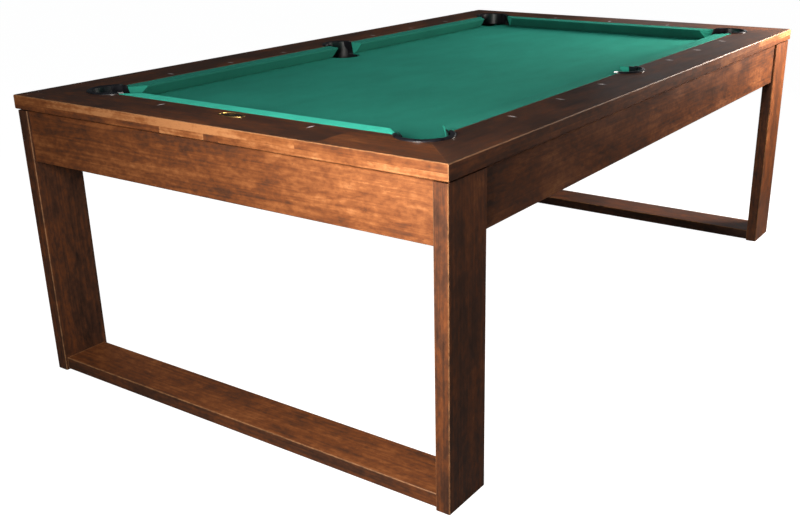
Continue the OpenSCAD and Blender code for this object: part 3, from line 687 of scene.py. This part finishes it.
def declare_cushion():
    """Hides the CAD node of the cushion cloths, which the cloth made here replaces."""
    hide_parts("cushion_cloths")


CLOTH_TINT = (0.026, 0.275, 0.200)
# Painted light: how much lighter the cushions' cut ends are made.
CUT_END_LIGHT = 1.25
# For each cushion: the axis its cloth is pulled along, and its painted light as (face, top) brightness
# factors.
CUSHION_CLOTH = {
    "head": ("Y", (1.0, 2.7)),
    "foot": ("Y", (0.5, 0.85)),
    "left": ("X", (0.52, 0.8)),
    "right": ("X", (0.90, 0.90)),
}


# ------------------------------------------------------------------ bed


def arc(centre, radius, start, end, count):
    """Points on an arc, by angle in radians."""
    cx, cy = centre
    return [
        Vector((cx + radius * math.cos(start + (end - start) * i / count),
                cy + radius * math.sin(start + (end - start) * i / count)))
        for i in range(count + 1)
    ]


CUT_STEPS = 40


def bed_outline(radius):
    """Outline of the bed, counter-clockwise, with its pocket cuts at the radius given.
    Each point says whether it is on the round edge of a pocket."""
    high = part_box("bed_cloth")[1]
    hx, hy = high.x, high.y
    cx, cy, sy = HALF_L - CORNER_IN, HALF_W - CORNER_IN, HALF_W - SIDE_IN
    points = []
    quarter = math.pi / 2
    corners = [
        ((cx, cy), 0),
        ((-cx, cy), quarter),
        ((-cx, -cy), 2 * quarter),
        ((cx, -cy), 3 * quarter),
    ]
    for (x, y), turn in corners:
        rot = Matrix.Rotation(turn, 2)
        local_x = (hx if turn in (0, 2 * quarter) else hy) - (cx if turn in (0, 2 * quarter) else cy)
        local_y = (hy if turn in (0, 2 * quarter) else hx) - (cy if turn in (0, 2 * quarter) else cx)
        stretch = [Vector((local_x, 0)), Vector((radius, 0))]
        bend = arc((0, 0), radius, 0, -3 * quarter, CUT_STEPS)[1:]
        centre = Vector((x, y))
        points += [(centre + rot @ stretch[0], False)]
        points += [(centre + rot @ p, True) for p in [stretch[1]] + bend]
        points += [(centre + rot @ Vector((0, local_y)), False)]
        if turn in (0, 2 * quarter):
            s = 1 if turn == 0 else -1
            side = Vector((0, s * sy))
            edge = s * hy
            points += [(Vector((s * radius, edge)), False)]
            points += [(side + p, True) for p in arc((0, 0), s * radius, 0, -math.pi, CUT_STEPS)]
            points += [(Vector((-s * radius, edge)), False)]
    return points


BEND_R = 0.0014
TURNED_DOWN = (0.006, 0.015)


def bed_cloth():
    """The cloth on the slate, turned down into the pockets round their cuts."""
    mesh = bpy.data.meshes.new("cloth_bed")
    bm = bmesh.new()
    inner = CUT_R - CLOTH_T
    top = bed_outline(inner + BEND_R)
    loop = [bm.verts.new((p.x, p.y, BED_TOP)) for p, _ in top]
    face = bm.faces.new(loop)
    bmesh.ops.triangulate(bm, faces=[face])
    drop = [(BEND_R * math.sin(a), BEND_R * (1 - math.cos(a))) for a in (0.5, 1.0, math.pi / 2)]
    drop += [(BEND_R, down) for down in TURNED_DOWN]
    above = loop
    for inward, down in drop:
        ring = bed_outline(inner + BEND_R - inward)
        below = [bm.verts.new((p.x, p.y, BED_TOP - down)) if on else None for p, on in ring]
        for i in range(len(ring)):
            j = (i + 1) % len(ring)
            if below[i] and below[j] and above[i] and above[j]:
                bm.faces.new((above[i], above[j], below[j], below[i]))
        above = below
    bmesh.ops.delete(bm, geom=[v for v in bm.verts if not v.link_faces], context="VERTS")
    bmesh.ops.recalc_face_normals(bm, faces=bm.faces)
    face_up(bm)
    bm.to_mesh(mesh)
    bm.free()
    for face in mesh.polygons:
        face.use_smooth = True
    obj = bpy.data.objects.new("cloth_bed", mesh)
    bpy.context.scene.collection.objects.link(obj)
    mesh.materials.append(cloth_material("bed_cloth", CLOTH_TINT))
    solid = obj.modifiers.new("thickness", "SOLIDIFY")
    solid.thickness = CLOTH_T
    solid.offset = -1.0
    weighted = obj.modifiers.new("normals", "WEIGHTED_NORMAL")
    weighted.keep_sharp = True
    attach(obj, "table")
    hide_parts("bed_cloth")
    return obj


# ------------------------------------------------------------------ other materials


def gloss_black():
    material, g, shader = new_material(
        "pocket_plastic", Specular_IOR_Level=0.6, Coat_Weight=0.4, Coat_Roughness=0.12
    )
    at = g.add("ShaderNodeTexCoord").outputs["Object"]
    scuffs = g.noise(g.mapping(at, scale=(60, 60, 25)), 1.0, 4.0, 0.65)
    grain = g.noise(at, 520.0, 2.0, 0.6)
    tint = g.mix(g.remap(scuffs, 0.4, 0.8), (0.006, 0.006, 0.008, 1), (0.016, 0.016, 0.021, 1))
    g.put(shader.inputs["Base Color"], tint)
    g.put(shader.inputs["Roughness"], g.remap(scuffs, 0.3, 0.75, 0.26, 0.40))
    g.put(shader.inputs["Normal"], g.bump(grain, 0.00005, 0.2))
    return material


def leather_black():
    """Grained black wall of the buckets."""
    material, g, shader = new_material("bucket_plastic", Specular_IOR_Level=0.45)
    at = g.add("ShaderNodeTexCoord").outputs["Object"]
    cells = g.add("ShaderNodeTexVoronoi", feature="DISTANCE_TO_EDGE")
    g.put(cells.inputs["Vector"], at)
    cells.inputs["Scale"].default_value = 520.0
    pebbles = g.remap(cells.outputs["Distance"], 0.0, 0.22)
    g.put(shader.inputs["Base Color"], g.mix(pebbles, (0.005, 0.005, 0.006, 1), (0.014, 0.014, 0.017, 1)))
    g.put(shader.inputs["Roughness"], g.remap(pebbles, 0.0, 1.0, 0.62, 0.42))
    g.put(shader.inputs["Normal"], g.bump(pebbles, 0.00025, 0.6))
    return material


def feather():
    material, g, shader = new_material("feather_strip", Roughness=0.5)
    at = g.add("ShaderNodeTexCoord").outputs["Object"]
    grain = g.noise(g.mapping(at, scale=(60, 60, 400)), 1.0, 3.0, 0.6)
    tint = g.mix(g.remap(grain, 0.3, 0.7), (0.110, 0.022, 0.011, 1), (0.210, 0.040, 0.020, 1))
    g.put(shader.inputs["Base Color"], tint)
    return material


def pearl():
    material, g, shader = new_material(
        "pearl", Specular_IOR_Level=0.7, Coat_Weight=0.6, Coat_Roughness=0.08, Roughness=0.28
    )
    at = g.add("ShaderNodeTexCoord").outputs["Object"]
    swirl = g.noise(at, 90.0, 3.0, 0.6, 2.5)
    tint = g.mix(g.remap(swirl, 0.35, 0.65), (0.80, 0.71, 0.70, 1), (0.95, 0.91, 0.92, 1))
    g.put(shader.inputs["Base Color"], tint)
    return material


def brass(name, low, high):
    """Brushed brass, with a darker ornament sunk in the middle of the nameplate: an oval
    frame round a plain lozenge between two rows of scallops. It has no lettering."""
    material, g, shader = new_material(name, Metallic=1.0, Specular_IOR_Level=0.5)
    at = g.add("ShaderNodeTexCoord").outputs["Object"]
    brushed = g.noise(g.mapping(at, scale=(900, 60, 60)), 1.0, 2.0, 0.6)
    base = g.mix(g.remap(brushed, 0.3, 0.7), (0.60, 0.41, 0.14, 1), (0.86, 0.66, 0.30, 1))
    height = brushed
    if low is not None:
        centre = (low + high) / 2
        half = (high - low) / 2
        shift = (-centre.x / half.x, -centre.y / half.y, 0)
        local = g.mapping(at, location=shift, scale=(1 / half.x, 1 / half.y, 1))
        parts = g.add("ShaderNodeSeparateXYZ")
        g.put(parts.inputs[0], local)
        u = g.math("ABSOLUTE", parts.outputs[1])
        v = g.math("ABSOLUTE", parts.outputs[0])
        lozenge = g.math("ADD", g.math("MULTIPLY", u, 2.1), g.math("MULTIPLY", v, 1.6))
        radius = g.math("SQRT", g.math("ADD", g.math("MULTIPLY", u, u), g.math("MULTIPLY", v, v)))
        angle = g.math("ARCTAN2", parts.outputs[0], parts.outputs[1])
        waves = g.math("SINE", g.math("MULTIPLY", angle, 22.0))
        scallop = g.math("ADD", radius, g.math("MULTIPLY", waves, 0.035))
        inner = g.remap(lozenge, 0.50, 0.56, 1.0, 0.0)
        oval = g.remap(scallop, 0.74, 0.78, 1.0, 0.0)
        field = g.math("MULTIPLY", oval, g.math("SUBTRACT", 1.0, inner))
        base = g.mix(g.math("MULTIPLY", field, 0.72), base, (0.045, 0.026, 0.012, 1))
        height = g.math("SUBTRACT", g.math("MULTIPLY", brushed, 0.1), field)
    g.put(shader.inputs["Base Color"], base)
    g.put(shader.inputs["Roughness"], g.remap(brushed, 0.3, 0.7, 0.22, 0.36))
    g.put(shader.inputs["Normal"], g.bump(height, 0.0003, 0.5))
    return material


def steel():
    material, g, shader = new_material("zinc_steel", Metallic=1.0)
    at = g.add("ShaderNodeTexCoord").outputs["Object"]
    spangle = g.noise(at, 380.0, 3.0, 0.6)
    g.put(shader.inputs["Base Color"], g.mix(spangle, (0.42, 0.43, 0.45, 1), (0.66, 0.67, 0.70, 1)))
    g.put(shader.inputs["Roughness"], g.remap(spangle, 0.3, 0.7, 0.26, 0.42))
    return material


def rubber():
    material, g, shader = new_material("rubber", Specular_IOR_Level=0.3)
    at = g.add("ShaderNodeTexCoord").outputs["Object"]
    dust = g.noise(at, 240.0, 4.0, 0.65)
    g.put(shader.inputs["Base Color"], g.mix(dust, (0.010, 0.010, 0.011, 1), (0.030, 0.030, 0.031, 1)))
    g.put(shader.inputs["Roughness"], g.remap(dust, 0.3, 0.7, 0.62, 0.85))
    g.put(shader.inputs["Normal"], g.bump(dust, 0.0001, 0.4))
    return material


def slate_stone():
    material, g, shader = new_material("slate", Specular_IOR_Level=0.4)
    at = g.add("ShaderNodeTexCoord").outputs["Object"]
    layers = g.noise(g.mapping(at, scale=(4, 4, 160)), 1.0, 5.0, 0.65, 0.3)
    fleck = g.noise(at, 260.0, 3.0, 0.6)
    tint = g.mix(g.remap(layers, 0.3, 0.7), (0.040, 0.045, 0.052, 1), (0.105, 0.112, 0.122, 1))
    g.put(shader.inputs["Base Color"], tint)
    g.put(shader.inputs["Roughness"], g.remap(fleck, 0.3, 0.7, 0.5, 0.7))
    g.put(shader.inputs["Normal"], g.bump(g.math("ADD", layers, fleck), 0.0003, 0.4))
    return material


def named(start):
    """The CAD nodes whose names start so."""
    return [n for n in nodes if n.startswith(start)]


def paint_rest():
    paint(named("pocket_collar"), gloss_black())
    paint(named("pocket_bucket"), leather_black())
    paint(["feather_strips"], feather())
    paint(["rail_sights"], pearl())
    paint(["nameplate"], brass("nameplate_brass", *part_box("nameplate")))
    paint(["threaded_inserts"], brass("insert_brass", None, None))
    paint(["leg_bolts", "rail_bolts", "wood_screws", "pocket_rivets"] + named("leveller_stem"), steel())
    cushions = [n for n in nodes if n.startswith("cushion_") and n != "cushion_cloths"]
    paint(cushions + ["pocket_facings"] + named("leveller_pad"), rubber())
    paint(["slate_head", "slate_centre", "slate_foot"], slate_stone())
    ply_tints = (0.46, 0.30, 0.16, 1), (0.30, 0.18, 0.085, 1)
    ply = plain_wood("plywood", *ply_tints, "X", (5, 140, 140))
    ply_y = plain_wood("plywood_across", *ply_tints, "Y", (5, 140, 140))
    paint(["frame_sides", "slate_ledgers", "apron_spacers"], ply)
    paint(["frame_ends", "cross_beams"], ply_y)
    beech = plain_wood("beech", (0.55, 0.38, 0.22, 1), (0.38, 0.24, 0.12, 1), "Y", (20, 300, 300))
    paint(["plank_dowels"], beech)


# ------------------------------------------------------------------ camera, light and floor

CAMERA_AT = Vector((-2.7685, -1.7293, 1.3031))
CAMERA_YAW, CAMERA_PITCH, CAMERA_ROLL = (math.radians(a) for a in (33.98, 20.95, -0.55))
SENSOR_MM, LENS_MM = 36, 44.69
SHIFT_X, SHIFT_Y = -0.046, 0.015


def make_camera():
    forward = Vector((
        math.cos(CAMERA_PITCH) * math.cos(CAMERA_YAW),
        math.cos(CAMERA_PITCH) * math.sin(CAMERA_YAW),
        -math.sin(CAMERA_PITCH),
    ))
    right = forward.cross(Vector((0, 0, 1))).normalized()
    up = right.cross(forward)
    turn = Matrix.Rotation(-CAMERA_ROLL, 3, forward)
    right, up = turn @ right, turn @ up
    data = bpy.data.cameras.new("camera")
    data.sensor_width = SENSOR_MM
    data.lens = LENS_MM
    data.shift_x = SHIFT_X
    data.shift_y = SHIFT_Y
    data.clip_end = 60
    camera = bpy.data.objects.new("camera", data)
    basis = Matrix((right, up, -forward)).transposed()
    camera.matrix_world = Matrix.Translation(CAMERA_AT) @ basis.to_4x4()
    bpy.context.scene.collection.objects.link(camera)
    bpy.context.scene.camera = camera


def area_light(name, at, towards, size, watts, colour, spread=180, in_gloss=True):
    data = bpy.data.lights.new(name, "AREA")
    data.shape = "RECTANGLE"
    data.size, data.size_y = size
    data.energy = watts
    data.color = colour
    data.spread = math.radians(spread)
    light = bpy.data.objects.new(name, data)
    light.location = at
    light.rotation_euler = (Vector(towards) - Vector(at)).to_track_quat("-Z", "Y").to_euler()
    light.visible_glossy = in_gloss
    light.visible_camera = False
    bpy.context.scene.collection.objects.link(light)


def make_lights():
    area_light("head_softbox", (-2.12, -0.66, 1.20), (-1.19, -0.45, 0.65), (0.4, 0.5), 21, NEUTRAL)
    area_light("corner_softbox", (-2.25, -0.80, 1.05), (-1.19, -0.62, 0.72), (0.35, 0.45), 6.5, WARM, 100)
    area_light("front_softbox", (-3.6, 0.2, 1.7), (-1.2, 0.0, 0.5), (1.2, 1.0), 11, NEUTRAL)
    area_light("foot_softbox", (1.38, -1.04, 1.06), (0.85, -0.69, 0.72), (0.3, 0.3), 22, WARM)
    area_light("side_softbox", (1.60, -1.60, 1.00), (0.75, -0.69, 0.72), (0.5, 0.4), 11, WARM, 120, False)
    area_light("foot_overhead", (1.4, 0.0, 2.3), (0.9, 0.0, 0.75), (0.8, 1.4), 5, COOL, 120, False)
    area_light("back_softbox", (-0.35, 2.60, 1.35), (-1.05, 0.30, 0.10), (0.8, 0.6), 12, COOL, 180, False)
    area_light("backdrop", (4.2, 0.5, 1.3), (0, 0, 0.8), (1.8, 0.8), 2.2, COOL)


WARM, NEUTRAL, COOL = (1.0, 0.90, 0.82), (1.0, 0.97, 0.94), (0.97, 0.985, 1.0)


def make_world():
    world = bpy.data.worlds.new("studio")
    bpy.context.scene.world = world
    world.use_nodes = True
    g = Graph(world.node_tree)
    background = g.nodes["Background"]
    seen = g.add("ShaderNodeLightPath").outputs["Is Camera Ray"]
    g.put(background.inputs["Color"], g.mix(seen, (0.82, 0.93, 1.0, 1), (1, 1, 1, 1)))
    g.put(background.inputs["Strength"], g.remap(seen, 0.0, 1.0, WORLD_LIGHT, 1.0))


FLOOR_HALF, FLOOR_GAP = 14, 0.0002
WORLD_LIGHT, FLOOR_GLOW = 0.042, 0.98


def make_floor():
    mesh = bpy.data.meshes.new("floor")
    bm = bmesh.new()
    bmesh.ops.create_grid(bm, x_segments=1, y_segments=1, size=FLOOR_HALF)
    bm.to_mesh(mesh)
    bm.free()
    floor = bpy.data.objects.new("floor", mesh)
    floor.location = (0, 0, -FLOOR_GAP)
    bpy.context.scene.collection.objects.link(floor)
    material, g, shader = new_material("floor", Roughness=0.9, Specular_IOR_Level=0.1)
    seen = g.add("ShaderNodeLightPath").outputs["Is Camera Ray"]
    g.put(shader.inputs["Base Color"], g.mix(seen, (0.10, 0.10, 0.10, 1), (0.30, 0.30, 0.30, 1)))
    g.put(shader.inputs["Emission Color"], (1, 1, 1, 1))
    g.put(shader.inputs["Emission Strength"], g.math("MULTIPLY", seen, FLOOR_GLOW))
    mesh.materials.append(material)


# ------------------------------------------------------------------ the scene

make_camera()
make_lights()
make_world()
make_floor()
paint_wood()
paint_rest()
make_cushions()
bed_cloth()
bpy.context.scene.view_settings.view_transform = "Standard"
